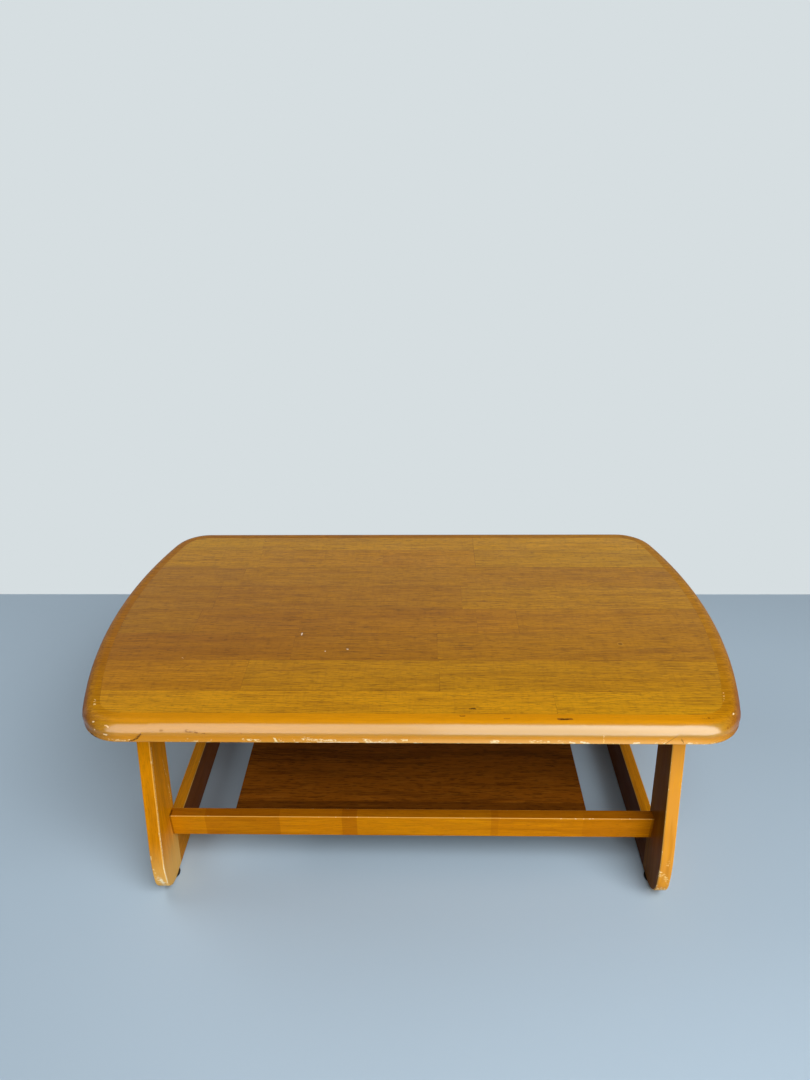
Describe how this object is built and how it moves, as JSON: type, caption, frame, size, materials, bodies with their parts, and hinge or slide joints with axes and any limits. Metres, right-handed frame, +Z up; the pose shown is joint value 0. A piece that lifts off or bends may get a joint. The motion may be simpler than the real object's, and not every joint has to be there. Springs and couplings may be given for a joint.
{
  "type": "low table",
  "caption": "Low rectangular table with bowed ends and a rounded solid edge, on splayed A-shaped end frames joined by stretchers that carry a shelf.",
  "frame": {"origin": "on the floor, below the centre of the top", "axes": "+X along the table's length, +Y to its back, +Z up"},
  "size_m": [1.1998, 0.668, 0.45],
  "materials": {
    "lipping_wood": "lacquered solid hardwood edge",
    "face_veneer": "lacquered strip veneer",
    "back_veneer": "plain balancing veneer",
    "core_board": "raw core board",
    "frame_wood": "lacquered solid hardwood",
    "shelf_board": "lacquered veneered board",
    "dowel_wood": "raw beech",
    "glide_plastic": "moulded black polyethylene",
    "screw_steel": "zinc-plated steel"
  },
  "bodies": {
    "root": {"lipping_front": "lipping_wood", "lipping_back": "lipping_wood", "lipping_left": "lipping_wood", "lipping_right": "lipping_wood", "leg_front_left": "frame_wood", "leg_front_right": "frame_wood", "leg_rear_left": "frame_wood", "leg_rear_right": "frame_wood", "low_rail_left": "frame_wood", "low_rail_right": "frame_wood", "top_rail_left": "frame_wood", "top_rail_right": "frame_wood", "stretcher_front": "frame_wood", "stretcher_rear": "frame_wood", "shelf_cleat_front": "frame_wood", "shelf_cleat_rear": "frame_wood", "screw_plugs": "frame_wood", "top_veneer_face": "face_veneer", "top_veneer_back": "back_veneer", "top_core": "core_board", "shelf": "shelf_board", "frame_dowels": "dowel_wood", "stretcher_dowels": "dowel_wood", "glide_front_left": "glide_plastic", "glide_front_right": "glide_plastic", "glide_rear_left": "glide_plastic", "glide_rear_right": "glide_plastic", "stretcher_screws": "screw_steel", "top_screws": "screw_steel", "cleat_screws": "screw_steel", "shelf_screws": "screw_steel", "glide_nails": "screw_steel"}
  },
  "joints": []
}
